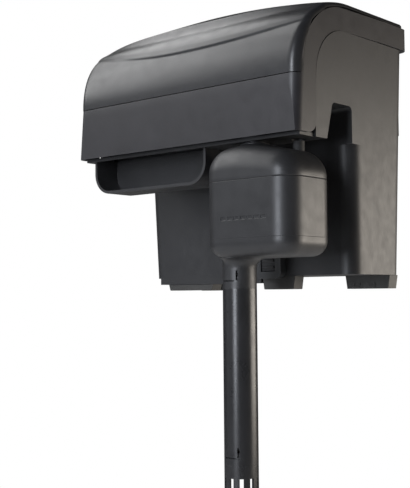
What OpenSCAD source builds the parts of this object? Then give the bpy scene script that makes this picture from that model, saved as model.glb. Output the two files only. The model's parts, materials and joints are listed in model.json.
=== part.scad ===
// Hang-on-back aquarium power filter with a submersible pump on its intake pipe.
// +Z is up, X runs along the tank rim, and -Y is the side that hangs over the water.
// The origin is the middle of the rim seat, the face under the hook that rests on the glass.

/* [Case] */
// Width of the case at the rim
case_w = 223; // [200:1:260]
// Depth of the reservoir behind the rim slot
case_depth = 75; // [62:1:92]
// How far the case hangs below the rim seat
case_drop = 123; // [100:1:150]
// How far the reservoir is set in at its left end, below the hook
left_inset = 10.5; // [0:0.5:20]
// Thickness of the case walls
wall = 2.6; // [2:0.1:3.4]
// Thickness of the reservoir floor
case_floor = 3; // [2.4:0.2:5]
// Draft of the side and back walls, degrees
side_draft = 1.3; // [0:0.1:2]
// Draft of the reservoir's front wall, degrees
front_draft = 2.2; // [0:0.1:3]
// Radius of the reservoir's upright corners
case_corner_r = 12; // [6:1:18]
// Width of the chamber that the riser fills
chamber_w = 80; // [74:1:90]
// Height of the spill weir above the rim seat
weir_h = 14; // [8:1:20]

/* [Hook over the rim] */
// Width of the slot that takes the tank rim
rim_gap = 26; // [18:1:34]
// Radius inside the slot's upper corners
rim_corner_r = 4; // [1:0.5:8]
// Thickness of the bridge over the rim
bridge_t = 3; // [2.4:0.2:5]
// How far the hook reaches down inside the tank
hook_drop = 27; // [22:1:34]
// How much the slot flares forward towards the hook's lower edge
hook_flare = 5.5; // [0:0.5:8]
// Distance from the rim slot to the front of the hood
overhang = 42; // [38:1:52]

/* [Hood] */
// Width of the side bands that run up the front and back along the top
band_w = 17; // [14:1:20]
// Outer radius of the side bands' bend
band_r = 52.5; // [48:0.5:58]
// How far the bands lie behind the face of the lid
band_set_back = 5.5; // [3:0.5:7]
// Height of the bend's centre above the rim seat
bend_z = 18.5; // [16:0.5:21]
// Height of the joint between the front cover and the lid
seam_z = 15.5; // [12:0.5:18]
// How far the front cover hangs below the rim seat
cover_drop = 25; // [22:1:26]
// How much further back the cover's lower edge lies than its upper edge
cover_lean = 3; // [0:0.5:5]
// Thickness of the hood wall
hood_wall = 2.6; // [2:0.1:3.2]
// Radius of the hood's upright corners
hood_corner_r = 8; // [5:0.5:11]
// How far the rear skirt stands out past the case
skirt_out = 3; // [1.5:0.5:4]

/* [Lid] */
// Thickness of the lid
lid_t = 2.4; // [1.8:0.1:3]
// Bend radius of the lid's face
lid_r = 66; // [62:0.5:70]
// How much lower the lid's ends lie than its middle
arch_rise = 10.8; // [7:0.2:11.4]
// Height that the upper leaf stands proud of the lid's face
leaf_h = 1.3; // [0.8:0.1:2]
// Height of the leaf's lower edge above the rim seat, in the middle
leaf_low = 50; // [44:1:56]
// How far the leaf's lower edge dips in the middle
leaf_dip = 10; // [6:0.5:14]
// Gap between the lid and the bands under it
lid_gap = 1.5; // [1:0.1:2.5]
// Distance of each hinge from the middle
hinge_x = 60; // [40:1:80]
// Outer radius of the hinge knuckles
knuckle_r = 3; // [2.6:0.1:3.4]
// Radius of the hinge pins
hinge_pin_r = 1.5; // [1:0.1:1.7]
// Width of a lid knuckle
lid_knuckle_w = 10; // [6:1:14]
// Width of a hood knuckle
hood_knuckle_w = 6; // [4:0.5:8]

/* [Spout] */
// Distance of the spout's left end from the end of the case
spout_inset = 9.5; // [7:0.5:20]
// Distance between the spout and the pump
spout_pump_gap = 14.5; // [13:0.5:24]
// How far the spout's floor lies below the rim seat
spout_drop = 54; // [46:1:60]
// Radius of the spout's lower corners
spout_corner_r = 17; // [10:1:20]
// Wall of the spout
spout_wall = 2.2; // [1.6:0.1:3]
// How far the spout's lip stays behind the front of the hood
spout_set_back = 8.5; // [5:0.5:14]

/* [Pump housing] */
// Width of the pump
pump_w = 80; // [76:1:88]
// Depth of the pump, front to back
pump_d = 55; // [52:1:60]
// Radius of the pump's upright corners
pump_corner_r = 16; // [12:1:20]
// Wall of the pump housing
pump_wall = 2.5; // [2:0.1:3]
// Depth of the pump's underside below the rim seat
pump_bottom_drop = 111; // [108:1:116]
// Depth of the joint between the base and the sleeve
pump_low_seam_drop = 98; // [96:1:99]
// Depth of the joint between the sleeve and the dome
pump_high_seam_drop = 57; // [54:1:60]
// Depth of the dome's shoulder
pump_top_drop = 32; // [30:1:34]
// Gap between the pump's back and the slot for the glass
pump_gap = 1; // [0.5:0.5:4]
// How far the pump's right side stands out past the case
pump_out = 3; // [0:0.5:5]

/* [Pump works] */
// Distance of the motor shaft from the pump's right side
motor_inset = 25; // [24:0.5:26]
// Radius of the magnet rotor
magnet_r = 8.6; // [7:0.1:9.5]
// Length of the magnet rotor
magnet_l = 22; // [16:1:24]
// Radial gap between the magnet and its can
magnet_gap = 0.7; // [0.5:0.1:1]
// Wall of the rotor can
can_wall = 1.2; // [1:0.1:1.6]
// Radius of the ceramic shaft
shaft_r = 1.2; // [1:0.1:1.6]
// Radial running gap on the shaft
shaft_gap = 0.06; // [0.03:0.01:0.1]
// Radius of the impeller
impeller_r = 13; // [11:0.5:13.5]
// Height of the impeller blades
blade_h = 6; // [4:0.5:7]
// Number of impeller blades
blade_count = 6; // [4:1:8]
// Radial gap between the impeller and the volute
volute_gap = 2.5; // [2:0.1:3]
// Distance between the outlet and the motor shaft
outlet_spacing = 29.5; // [28:0.5:31]
// Distance of the outlet in front of the rim slot
outlet_front = 23.5; // [21:0.5:25]
// Outer radius of the outlet tube
outlet_r = 8.5; // [7:0.5:9]
// Wall of the outlet tube
outlet_wall = 1.6; // [1.2:0.1:2.2]
// How far the outlet tube reaches into its socket
socket_depth = 14; // [10:1:16]
// Radial gap of the outlet tube in its socket
socket_gap = 0.1; // [0.05:0.01:0.1]

/* [Intake] */
// Outer radius of the intake tube
tube_r = 12.5; // [11:0.5:13.5]
// Wall of the intake tube
tube_wall = 1.8; // [1.4:0.1:2.4]
// How far the intake tube lies in from the pump's left side
tube_inset = 0.15; // [0.15:0.05:3]
// Depth of the joint between the pump's neck and the tube
neck_drop = 133; // [128:1:138]
// Visible length of the intake tube
tube_l = 127; // [80:1:180]
// Length of the spigots that plug the intake parts together
spigot_l = 14; // [10:1:18]
// Radial gap of the spigots
spigot_gap = 0.1; // [0.05:0.01:0.1]
// Length of the strainer
strainer_l = 62; // [45:1:80]
// Number of slots round the strainer
strainer_slots = 10; // [6:1:14]
// Width of a strainer slot
strainer_slot_w = 3; // [2:0.2:4]

/* [Feet and leveller] */
// Height of the feet below the case
foot_h = 10.5; // [6:0.5:14]
// Depth of a foot, front to back
foot_d = 12; // [8:1:16]
// Height of the ledge along the front of the floor
ledge_h = 5.4; // [3:0.2:8]
// Distance of the leveller from the middle
leveller_x = 33.5; // [30:0.5:38]
// Width of the leveller's guide
guide_w = 25; // [20:0.5:30]
// Thickness of the guide's legs
guide_leg = 5.5; // [3:0.5:7]
// How far the guide stands out from the case
guide_out = 7; // [5:0.5:9]
// Height of the guide
guide_h = 26; // [20:1:32]
// Gap round the levelling spacer
spacer_gap = 0.3; // [0.2:0.05:0.4]

/* [Media] */
// Height of the media basket
basket_h = 108; // [80:1:114]
// Wall of the media basket
basket_wall = 1.8; // [1.4:0.1:2.4]
// Gap between the basket and the case
basket_gap = 0.8; // [0.5:0.1:2]
// Height of the coarse sponge
sponge_h = 38; // [20:1:42]
// Height of the carbon bag
bag_h = 20; // [14:1:24]
// Height of the fine pad
floss_h = 12; // [8:1:16]
// Outer radius of a ceramic ring
ring_r = 6; // [5:0.5:7]
// Inner radius of a ceramic ring
ring_bore_r = 3; // [2:0.5:3.5]
// Height of a ceramic ring
ring_h = 12; // [8:1:14]

/* [Hidden] */
$fn = 96;

far = 400;
cut = 0.5;
skin = 0.02;

// Places that several pieces share
case_x = case_w / 2;
slot_y = rim_gap / 2;
front_y = -slot_y - overhang;
bend_y = front_y + band_set_back + band_r;
band_in_r = band_r - band_w;
band_out_x = case_x + 0.5;
skirt_x = case_x + skirt_out;
skirt_y = slot_y + case_depth + skirt_out + 0.5;
skirt_z = bend_z + band_in_r;
band_top = bend_z + band_r;
collar_x = case_x - hood_wall + 0.2;
collar_gap = 0.3;
inner_x = collar_x + collar_gap;
pump_x1 = case_x + pump_out;
pump_x0 = pump_x1 - pump_w;
motor_x = pump_x1 - motor_inset;
outlet_x = motor_x - outlet_spacing;
spout_x0 = -case_x + spout_inset;
spout_x1 = pump_x0 - spout_pump_gap;

function side_x(z) = case_x + z * tan(side_draft);
function left_x(z) = -case_x + left_inset - z * tan(side_draft);
function back_y(z) = slot_y + case_depth + z * tan(side_draft);
function wall_y(z) = slot_y - z * tan(front_draft);

// Extrudes an outline drawn in Y and Z along X
module along_x(x0, x1) {
    translate([x0, 0, 0])
        rotate([90, 0, 90])
            linear_extrude(x1 - x0)
                children();
}

// Extrudes an outline drawn in X and Z along Y
module along_y(y0, y1) {
    translate([0, y1, 0])
        rotate([90, 0, 0])
            linear_extrude(y1 - y0)
                children();
}

// Four thin discs at height z, the corners of a rounded rectangle, for a hull to wrap
module corner_discs(x0, x1, y0, y1, z, r) {
    for (x = [x0 + r, x1 - r], y = [y0 + r, y1 - r])
        translate([x, y, z])
            cylinder(h = skin, r = r, $fn = 48);
}

// Rectangle between two corners with rounded corners
module round_rect(x0, x1, y0, y1, r) {
    translate([x0 + r, y0])
        square([x1 - x0 - 2 * r, y1 - y0]);
    translate([x0, y0 + r])
        square([x1 - x0, y1 - y0 - 2 * r]);
    for (x = [x0 + r, x1 - r], y = [y0 + r, y1 - r])
        translate([x, y])
            circle(r);
}

// Block between two corners
module block(x0, x1, y0, y1, z0, z1) {
    translate([x0, y0, z0])
        cube([x1 - x0, y1 - y0, z1 - z0]);
}

// Cylinder standing at x, y between two heights
module post(x, y, z0, z1, r) {
    translate([x, y, z0])
        cylinder(h = z1 - z0, r = r);
}

// Ring standing at x, y between two heights
module sleeve(x, y, z0, z1, r, bore) {
    difference() {
        post(x, y, z0, z1, r);
        post(x, y, z0 - cut, z1 + cut, bore);
    }
}

// Side view that rises from the height low, bends back about y, bend_z and ends at back
module bend_outline(y, r, back, low) {
    intersection() {
        translate([y, bend_z])
            circle(r);
        translate([y - r, low])
            square([2 * r, bend_z + r - low]);
    }
    translate([y, low])
        square([back - y, bend_z + r - low]);
    translate([y - r, low])
        square([r + skin, bend_z - low]);
}

// ---- Case ----

channel_x = collar_x - wall;
hook_floor_top = -hook_drop + wall;
floor_front = front_y + cover_lean + hood_wall + collar_gap;
hook_face_y = -slot_y - hook_flare - wall;
weir_back = slot_y + wall + 1;
outlet_y = -slot_y - outlet_front;
riser_wall = 2;
riser_r = outlet_r + socket_gap + riser_wall;
collar_back = back_y(-hook_drop);
ledge_d = foot_d + 0.5;
divider_t = 2;
divider_x = side_x(-case_drop) - wall - chamber_w - divider_t;
divider_top = weir_h + 6;
divider_slot_h = 14;
divider_slot_w = 4;
divider_slot_low = -case_drop + case_floor + 4;
divider_margin = 18;

// Thin slice of the reservoir's plan at height z, drawn in by t all round
module reservoir_slice(z, t) {
    corner_discs(left_x(z) + t, side_x(z) - t, wall_y(z) + t, back_y(z) - t, z, case_corner_r - t);
}

// Thin slice of the hook's plan at height z
module hook_slice(z) {
    corner_discs(-side_x(z), side_x(z), front_y, back_y(z), z, case_corner_r);
}

// Tapered space inside the reservoir
module reservoir_space() {
    hull() {
        reservoir_slice(-case_drop + case_floor, wall);
        reservoir_slice(bridge_t, wall);
    }
}

// Slot that the tank rim stands in, flared towards its mouth
module rim_slot() {
    along_x(-far / 2, far / 2) {
        round_rect(-slot_y, slot_y, -3 * rim_corner_r, 0, rim_corner_r);
        polygon([
            [-slot_y, -rim_corner_r],
            [slot_y, -rim_corner_r],
            [wall_y(-hook_drop), -hook_drop],
            [wall_y(-hook_drop), -far / 4],
            [-slot_y - hook_flare, -far / 4],
            [-slot_y - hook_flare, -hook_drop],
        ]);
    }
}

module case_shape() {
    hull() {
        reservoir_slice(-case_drop, 0);
        reservoir_slice(0, 0);
    }
    intersection() {
        hull() {
            hook_slice(-hook_drop);
            hook_slice(skirt_z);
        }
        along_x(-far / 2, far / 2)
            bend_outline(bend_y, band_in_r - collar_gap, far / 2, -hook_drop);
    }
    intersection() {
        along_x(-collar_x, collar_x)
            bend_outline(bend_y, band_r - lid_gap - wall, collar_back, -slot_y);
        translate([0, 0, -hook_drop])
            linear_extrude(far / 2)
                round_rect(-collar_x, collar_x, front_y, collar_back, hood_corner_r - hood_wall);
    }
    block(-collar_x, collar_x, floor_front, -slot_y, -hook_drop, hook_floor_top);
    block(left_x(0) + case_corner_r, leveller_x - guide_w / 2, wall_y(-case_drop),
        wall_y(-case_drop) + ledge_d, -case_drop - ledge_h, -case_drop + skin);
}

module case_space() {
    reservoir_space();
    translate([0, 0, hook_floor_top])
        linear_extrude(far / 2)
            round_rect(-channel_x, channel_x, weir_back, back_y(-hook_drop) - wall, case_corner_r - wall);
    block(-channel_x, channel_x, -far / 2, slot_y, bridge_t, far / 2);
    block(-channel_x, channel_x, -far / 2, hook_face_y, hook_floor_top, bridge_t + cut);
    block(-channel_x, channel_x, slot_y - cut, weir_back + cut, weir_h, far / 2);
    block(spout_x0 + spout_wall, spout_x1 - spout_wall, front_y + spout_set_back,
        hook_face_y - spout_wall, -hook_drop - cut, hook_floor_top + cut);
    post(outlet_x, outlet_y, -hook_drop - cut, hook_floor_top + cut, riser_r + collar_gap);
    post(gland_x, gland_y, -hook_drop - cut, hook_floor_top + cut, gland_r + cord_room);
}

// Wall between the media chamber and the chamber that the riser fills
module divider() {
    difference() {
        intersection() {
            union() {
                reservoir_space();
                block(-channel_x, channel_x, weir_back, back_y(-hook_drop) - wall, 0, divider_top);
            }
            block(divider_x, divider_x + divider_t, 0, far, -far, divider_top);
        }
        for (y = [slot_y + divider_margin:2 * divider_slot_w:slot_y + case_depth - divider_margin])
            block(divider_x - cut, divider_x + divider_t + cut, y, y + divider_slot_w,
                divider_slot_low, divider_slot_low + divider_slot_h);
    }
}

module case() {
    color([0.2, 0.2, 0.2]) {
        difference() {
            case_shape();
            rim_slot();
            case_space();
        }
        divider();
    }
}

// ---- Hood and lid ----

hinge_inset = 1.1;
hinge_lift = 0.3;
hinge_y = skirt_y - hinge_inset;
hinge_z = band_top + knuckle_r + hinge_lift;
cover_corner_r = 10;

module hood_plan() {
    round_rect(-band_out_x, band_out_x, front_y, skirt_y, hood_corner_r);
    intersection() {
        round_rect(-skirt_x, skirt_x, front_y, skirt_y, hood_corner_r);
        polygon([
            [-band_out_x, bend_y],
            [band_out_x, bend_y],
            [skirt_x, bend_y + band_r],
            [skirt_x, far],
            [-skirt_x, far],
            [-skirt_x, bend_y + band_r],
        ]);
    }
}

// Upright column of the front cover's plan, leaning back towards its foot
module leaning_column(t) {
    translate([0, front_y, seam_z])
        rotate([-atan(cover_lean / (seam_z + cover_drop)), 0, 0])
            translate([0, 0, -far / 4])
                linear_extrude(far / 2)
                    round_rect(-band_out_x + t, band_out_x - t, t, far / 2, hood_corner_r - t);
}

// The front panel with its two cheeks
module front_cover() {
    back = bend_y - band_in_r;
    intersection() {
        difference() {
            leaning_column(0);
            leaning_column(hood_wall);
        }
        along_x(-far / 2, far / 2) {
            translate([front_y - cut, -cover_drop + cover_corner_r])
                square([back - front_y + cut, seam_z + cover_drop - cover_corner_r]);
            translate([front_y - cut, -cover_drop])
                square([back - cover_corner_r - front_y + cut, cover_corner_r + skin]);
            translate([back - cover_corner_r, -cover_drop + cover_corner_r])
                circle(cover_corner_r);
        }
    }
}

// The two side bands and the rail that joins them across the back
module bands() {
    difference() {
        intersection() {
            linear_extrude(band_top)
                hood_plan();
            along_x(-far / 2, far / 2)
                difference() {
                    bend_outline(bend_y, band_r, far / 2, seam_z - hood_wall);
                    bend_outline(bend_y, band_in_r, far / 2, -far / 2);
                }
        }
        translate([0, 0, -far / 2])
            linear_extrude(far)
                round_rect(-inner_x, inner_x, -far / 2, skirt_y - hood_wall, hood_corner_r - hood_wall);
    }
}

// One hinge knuckle between two places along X
module knuckle(x0, x1) {
    along_x(x0, x1)
        translate([hinge_y, hinge_z])
            circle(knuckle_r);
}

module pin_hole(x, w) {
    along_x(x - w, x + w)
        translate([hinge_y, hinge_z])
            circle(hinge_pin_r);
}

hinge_gap = 0.4;
pin_gap = 0.08;
hood_knuckle_in = lid_knuckle_w / 2 + hinge_gap;
hood_knuckle_out = hood_knuckle_in + hood_knuckle_w;
foot_of_knuckle = 4;

module hood() {
    color([0.22, 0.22, 0.22])
        difference() {
            union() {
                front_cover();
                bands();
                for (x = [-hinge_x, hinge_x], side = [-1, 1]) {
                    edge = x + side * (hood_knuckle_in + hood_knuckle_out) / 2 - hood_knuckle_w / 2;
                    knuckle(edge, edge + hood_knuckle_w);
                    block(edge, edge + hood_knuckle_w, skirt_y - hood_wall, skirt_y,
                        band_top - foot_of_knuckle, hinge_z);
                }
            }
            for (x = [-hinge_x, hinge_x])
                pin_hole(x, hood_knuckle_out + cut);
        }
}

lid_y = front_y + lid_r;
lid_back = hinge_y - knuckle_r - 0.5;
lid_top = bend_z + lid_r;
lid_low = seam_z + 0.3;
leaf_r = arc_r(leaf_dip);
arch_r = arc_r(arch_rise);

// Radius of an arc as wide as the hood that rises by h in its middle
function arc_r(h) = (band_out_x * band_out_x + h * h) / (2 * h);

// Front view under the lid's arch, raised by h
module arch_outline(h) {
    intersection() {
        translate([0, lid_top + h - arch_r])
            circle(arch_r, $fn = 720);
        translate([-case_w, 0])
            square([2 * case_w, far / 4]);
    }
}

// Front view of the leaf: everything above a line that dips in the middle
module leaf_outline() {
    intersection() {
        translate([0, leaf_low + leaf_r])
            circle(leaf_r, $fn = 720);
        translate([-band_out_x - cut, leaf_low - cut])
            square([2 * (band_out_x + cut), lid_r]);
    }
}

// Solid under the lid's face, raised by h, between the heights low and the face
module lid_block(h, x, back, low, corner) {
    intersection() {
        along_x(-case_w, case_w)
            bend_outline(lid_y, lid_r + h, far / 2, low - cut);
        along_y(front_y - far / 4, far / 2)
            arch_outline(h);
        translate([0, 0, low])
            linear_extrude(far / 4)
                intersection() {
                    round_rect(-x, x, front_y - h, far / 4, corner);
                    translate([-case_w, -far / 2])
                        square([2 * case_w, far / 2 + back]);
                }
    }
}

module lid() {
    color([0.3, 0.3, 0.31])
        difference() {
            union() {
                difference() {
                    union() {
                        lid_block(0, band_out_x, lid_back, lid_low, hood_corner_r);
                        intersection() {
                            lid_block(leaf_h, band_out_x, lid_back, lid_low, hood_corner_r);
                            along_y(front_y - far / 4, lid_back)
                                leaf_outline();
                        }
                    }
                    lid_block(-lid_t, inner_x, lid_back - lid_t, 1, hood_corner_r - lid_t);
                    along_x(-far / 2, far / 2)
                        bend_outline(bend_y, band_r + lid_gap, far / 2, 1);
                }
                for (x = [-hinge_x, hinge_x]) {
                    knuckle(x - lid_knuckle_w / 2, x + lid_knuckle_w / 2);
                    block(x - lid_knuckle_w / 2, x + lid_knuckle_w / 2, lid_back - skin, hinge_y,
                        hinge_z, hinge_z + knuckle_r);
                }
            }
            for (x = [-hinge_x, hinge_x])
                along_x(x - lid_knuckle_w, x + lid_knuckle_w)
                    translate([hinge_y, hinge_z])
                        circle(hinge_pin_r + pin_gap);
        }
}

module hinge_pin(x) {
    color([0.75, 0.75, 0.75])
        along_x(x - hood_knuckle_out, x + hood_knuckle_out)
            translate([hinge_y, hinge_z])
                circle(hinge_pin_r);
}

// ---- Spout and riser ----

module spout() {
    y0 = front_y + spout_set_back;
    y1 = hook_face_y;
    color([0.16, 0.16, 0.16])
        difference() {
            intersection() {
                along_y(y0, y1)
                    round_rect(spout_x0, spout_x1, -spout_drop, far / 4, spout_corner_r);
                block(-far, far, y0, y1, -far, -hook_drop);
            }
            along_y(y0 - cut, y1 - spout_wall)
                round_rect(spout_x0 + spout_wall, spout_x1 - spout_wall,
                    -spout_drop + spout_wall, far / 4, spout_corner_r - spout_wall);
        }
}

riser_bend = 14;
riser_end = weir_back + 12;
riser_rise = weir_h + 8;
flange_t = 2;
flange_r = riser_r + 1.6;

// Straight run, bend and level run of the riser, of radius r
module riser_path(r, low) {
    post(outlet_x, outlet_y, low, riser_rise, r);
    translate([outlet_x, outlet_y + riser_bend, riser_rise])
        rotate([0, 0, -90])
            rotate([90, 0, 0])
                rotate_extrude(angle = 90)
                    translate([riser_bend, 0])
                        circle(r);
    translate([outlet_x, outlet_y + riser_bend, riser_rise + riser_bend])
        rotate([-90, 0, 0])
            cylinder(h = riser_end - outlet_y - riser_bend, r = r);
}

module riser() {
    color([0.24, 0.24, 0.25])
        difference() {
            union() {
                riser_path(riser_r, -hook_drop);
                post(outlet_x, outlet_y, hook_floor_top, hook_floor_top + flange_t, flange_r);
            }
            riser_path(outlet_r - outlet_wall, -hook_drop - cut);
            translate([outlet_x, outlet_y + riser_bend, riser_rise + riser_bend])
                rotate([-90, 0, 0])
                    cylinder(h = riser_end, r = outlet_r - outlet_wall);
            post(outlet_x, outlet_y, -hook_drop - cut, -hook_drop + socket_depth + 1, outlet_r + socket_gap);
        }
}

// ---- Feet and leveller ----

front_foot_inset = 18;
front_foot_w = 50;
middle_foot_w = 32;
rear_left_foot_w = 35;
rear_right_foot_w = 41;
front_foot_y = wall_y(-case_drop) + 0.5;
rear_foot_y = back_y(-case_drop) - 1.5;
foot_rake = 1.6;
foot_low = -case_drop - foot_h;

// Foot between two places along X, its ends raked in towards the bottom
module foot(x0, x1, y0, y1, top) {
    color([0.3, 0.29, 0.28])
        along_y(y0, y1)
            polygon([[x0, top], [x1, top], [x1 - foot_rake, foot_low], [x0 + foot_rake, foot_low]]);
}

module front_left_foot() {
    x0 = left_x(-case_drop) + front_foot_inset;
    foot(x0, x0 + front_foot_w, front_foot_y, front_foot_y + foot_d, -case_drop - ledge_h);
}

module front_middle_foot() {
    x0 = leveller_x - guide_w / 2 + 1;
    foot(x0, x0 + middle_foot_w, front_foot_y, front_foot_y + foot_d, -case_drop);
}

module rear_left_foot() {
    x0 = left_x(-case_drop) + case_corner_r / 2;
    foot(x0, x0 + rear_left_foot_w, rear_foot_y - foot_d, rear_foot_y, -case_drop);
}

module rear_right_foot() {
    x1 = side_x(-case_drop) - case_corner_r / 4;
    foot(x1 - rear_right_foot_w, x1, rear_foot_y - foot_d, rear_foot_y, -case_drop);
}

// Places its children on the reservoir's front wall, which becomes the plane y = 0
module on_front_wall() {
    translate([0, slot_y, 0])
        rotate([front_draft, 0, 0])
            children();
}

guide_low = -case_drop - 2;
guide_r = 6;

module level_guide() {
    color([0.33, 0.33, 0.33])
        on_front_wall()
            difference() {
                along_y(-guide_out, 0)
                    round_rect(leveller_x - guide_w / 2, leveller_x + guide_w / 2,
                        guide_low, guide_low + guide_h, guide_r);
                along_y(-guide_out - cut, cut)
                    translate([leveller_x - guide_w / 2 + guide_leg, guide_low + guide_leg])
                        square([guide_w - 2 * guide_leg, guide_h]);
            }
}

module level_spacer() {
    x0 = leveller_x - guide_w / 2 + guide_leg + spacer_gap;
    w = guide_w - 2 * guide_leg - 2 * spacer_gap;
    z0 = guide_low + guide_leg + spacer_gap;
    h = guide_h - guide_leg - 3;
    color([0.12, 0.12, 0.12])
        on_front_wall() {
            block(x0, x0 + w, -guide_out + 1, -spacer_gap, z0, z0 + h);
            for (i = [0:2])
                block(x0 + 1, x0 + w - 1, -guide_out, -guide_out + 1 + skin, z0 + 2 + 5 * i, z0 + 4 + 5 * i);
        }
}

// ---- Pump housing ----

pump_y1 = -slot_y - pump_gap;
pump_y0 = pump_y1 - pump_d;
motor_y = (pump_y0 + pump_y1) / 2;
tube_x = pump_x0 + tube_r + tube_inset;
tube_y = motor_y + 1;
dome_r = pump_corner_r - 1;
base_r = 11;
outlet_collar_top = -hook_drop - 0.6;
outlet_collar_r = outlet_r + 2.2;

// Upright prism of the pump's plan
module pump_prism(z0, z1, t) {
    translate([0, 0, z0])
        linear_extrude(z1 - z0)
            round_rect(pump_x0 + t, pump_x1 - t, pump_y0 + t, pump_y1 - t, pump_corner_r - t);
}

// Half outline of width w between two heights, its upper outer corner rounded with r
module shoulder_outline(w, z0, z1, r) {
    translate([0, z0])
        square([w, z1 - r - z0]);
    translate([0, z0])
        square([w - r, z1 - z0]);
    intersection() {
        translate([w - r, z1 - r])
            circle(r);
        translate([0, z0])
            square([w, z1 - z0]);
    }
}

// Full outline between a and b with both upper corners rounded with r
module cap_outline(a, b, z0, z1, r) {
    translate([a, z0])
        square([b - a, z1 - r - z0]);
    translate([a + r, z0])
        square([b - a - 2 * r, z1 - z0]);
    intersection() {
        for (x = [a + r, b - r])
            translate([x, z1 - r])
                circle(r);
        translate([a, z0])
            square([b - a, z1 - z0]);
    }
}

// Cap over the pump's plan from z0 up to z1, its upper edge rounded with r, drawn in by t
module pump_cap(z0, z1, r, t) {
    corner = pump_corner_r;
    along_x(pump_x0 + corner, pump_x1 - corner)
        cap_outline(pump_y0 + t, pump_y1 - t, z0, z1 - t, r - t);
    along_y(pump_y0 + corner, pump_y1 - corner)
        cap_outline(pump_x0 + t, pump_x1 - t, z0, z1 - t, r - t);
    for (x = [pump_x0 + corner, pump_x1 - corner], y = [pump_y0 + corner, pump_y1 - corner])
        translate([x, y, 0])
            rotate_extrude()
                shoulder_outline(corner - t, z0, z1 - t, r - t);
}

gland_x = motor_x + 4;
gland_y = pump_y1 - 15;
gland_r = 4.2;
gland_bore_r = 3;
gland_top = -hook_drop - 1.2;
cord_room = 1;

module pump_dome() {
    color([0.25, 0.25, 0.26])
        difference() {
            union() {
                pump_cap(-pump_high_seam_drop, -pump_top_drop, dome_r, 0);
                translate([outlet_x, outlet_y, -pump_top_drop - 1])
                    cylinder(h = outlet_collar_top + pump_top_drop + 1, r1 = 2 * outlet_collar_r, r2 = outlet_collar_r);
            }
            pump_cap(-pump_high_seam_drop - cut, -pump_top_drop, dome_r, pump_wall);
            post(outlet_x, outlet_y, -pump_high_seam_drop, outlet_collar_top + cut, outlet_r + socket_gap);
            post(gland_x, gland_y, -pump_high_seam_drop, 0, gland_r + 0.05);
        }
}

module pump_sleeve() {
    color([0.24, 0.24, 0.25])
        difference() {
            pump_prism(-pump_low_seam_drop, -pump_high_seam_drop, 0);
            pump_prism(-pump_low_seam_drop - cut, -pump_high_seam_drop + cut, pump_wall);
        }
}

// Bowl of the base, its lower edge rounded, drawn in by t and open by lip at the top
module bowl(t, lip) {
    mirror([0, 0, 1])
        pump_cap(pump_low_seam_drop - lip, pump_bottom_drop, base_r, t);
}

neck_bore_r = tube_r - tube_wall;
latch_w = 1.7;
latch_h = 8;
latch_angle = -60;
latch_sweep = 80;

// Catch cut into a wall of radius r: an upright slot whose foot at height z opens sideways
module latch_cut(z, r) {
    translate([tube_x, tube_y, z]) {
        rotate([0, 0, latch_angle])
            translate([r - tube_wall - cut, -latch_w / 2, 0])
                cube([tube_wall + 2 * cut, latch_w, latch_h]);
        rotate([0, 0, latch_angle - latch_sweep])
            rotate_extrude(angle = latch_sweep)
                translate([r - tube_wall - cut, 0])
                    square([tube_wall + 2 * cut, 1]);
    }
}

leg_r = 2.5;
suction_gap = 4.5;
cover_seat = -pump_bottom_drop + pump_wall + suction_gap;
volute_r = impeller_r + volute_gap;
volute_wall = 2;
volute_floor_t = 2;
cover_r = volute_r + volute_wall + 1.5;

module pump_base() {
    color([0.24, 0.24, 0.25])
        difference() {
            union() {
                difference() {
                    bowl(0, 0);
                    bowl(pump_wall, cut);
                }
                post(tube_x, tube_y, -neck_drop, -pump_bottom_drop + pump_wall, tube_r);
                for (a = [60:120:300])
                    post(motor_x + (cover_r - leg_r) * cos(a), motor_y + (cover_r - leg_r) * sin(a),
                        -pump_bottom_drop + pump_wall - skin, cover_seat, leg_r);
            }
            post(tube_x, tube_y, -neck_drop - cut, -pump_bottom_drop + pump_wall + cut, neck_bore_r);
            latch_cut(-neck_drop + 5, tube_r);
        }
}

// ---- Pump works ----

chamber_low = cover_seat + volute_floor_t;
chamber_h = blade_h + 4;
chamber_top = chamber_low + chamber_h;
deck_top = chamber_top + volute_wall;
hub_r = 4.5;
rotor_gap = 1;
channel_half = 4.5;
outlet_boss_r = outlet_r + socket_gap + volute_wall;
outlet_seat = chamber_low + 4;

module volute() {
    channel_y0 = outlet_y - channel_half;
    channel_y1 = outlet_y + channel_half;
    color([0.35, 0.35, 0.36])
        difference() {
            union() {
                post(motor_x, motor_y, chamber_low, deck_top, volute_r + volute_wall);
                block(outlet_x, motor_x, channel_y0 - volute_wall, channel_y1 + volute_wall, chamber_low, deck_top);
                post(outlet_x, outlet_y, chamber_low, deck_top + 8, outlet_boss_r);
            }
            post(motor_x, motor_y, chamber_low - cut, chamber_top, volute_r);
            post(motor_x, motor_y, chamber_top - cut, deck_top + cut, hub_r + rotor_gap);
            block(outlet_x, motor_x, channel_y0, channel_y1, chamber_low + volute_wall, chamber_top);
            post(outlet_x, outlet_y, chamber_low + volute_wall, outlet_seat, outlet_r - outlet_wall);
            post(outlet_x, outlet_y, outlet_seat, deck_top + 8 + cut, outlet_r + socket_gap);
        }
}

bush_r = 3;
bush_gap = 0.03;
bush_h = 4;
eye_r = 8;
spoke_w = 2;

module volute_cover() {
    color([0.3, 0.3, 0.31])
        difference() {
            union() {
                sleeve(motor_x, motor_y, cover_seat, chamber_low, cover_r, eye_r);
                post(motor_x, motor_y, chamber_low - bush_h, chamber_low, bush_r + 1.2);
                translate([motor_x, motor_y, cover_seat])
                    for (a = [0:120:240])
                        rotate([0, 0, a])
                            translate([bush_r + 0.6, -spoke_w / 2, 0])
                                cube([eye_r - bush_r, spoke_w, volute_floor_t]);
            }
            post(motor_x, motor_y, cover_seat - far / 4, chamber_low + cut, bush_r + bush_gap);
        }
}

outlet_top = -hook_drop + socket_depth;
o_ring_r = 0.5;
o_ring_drop = 5;

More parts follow.
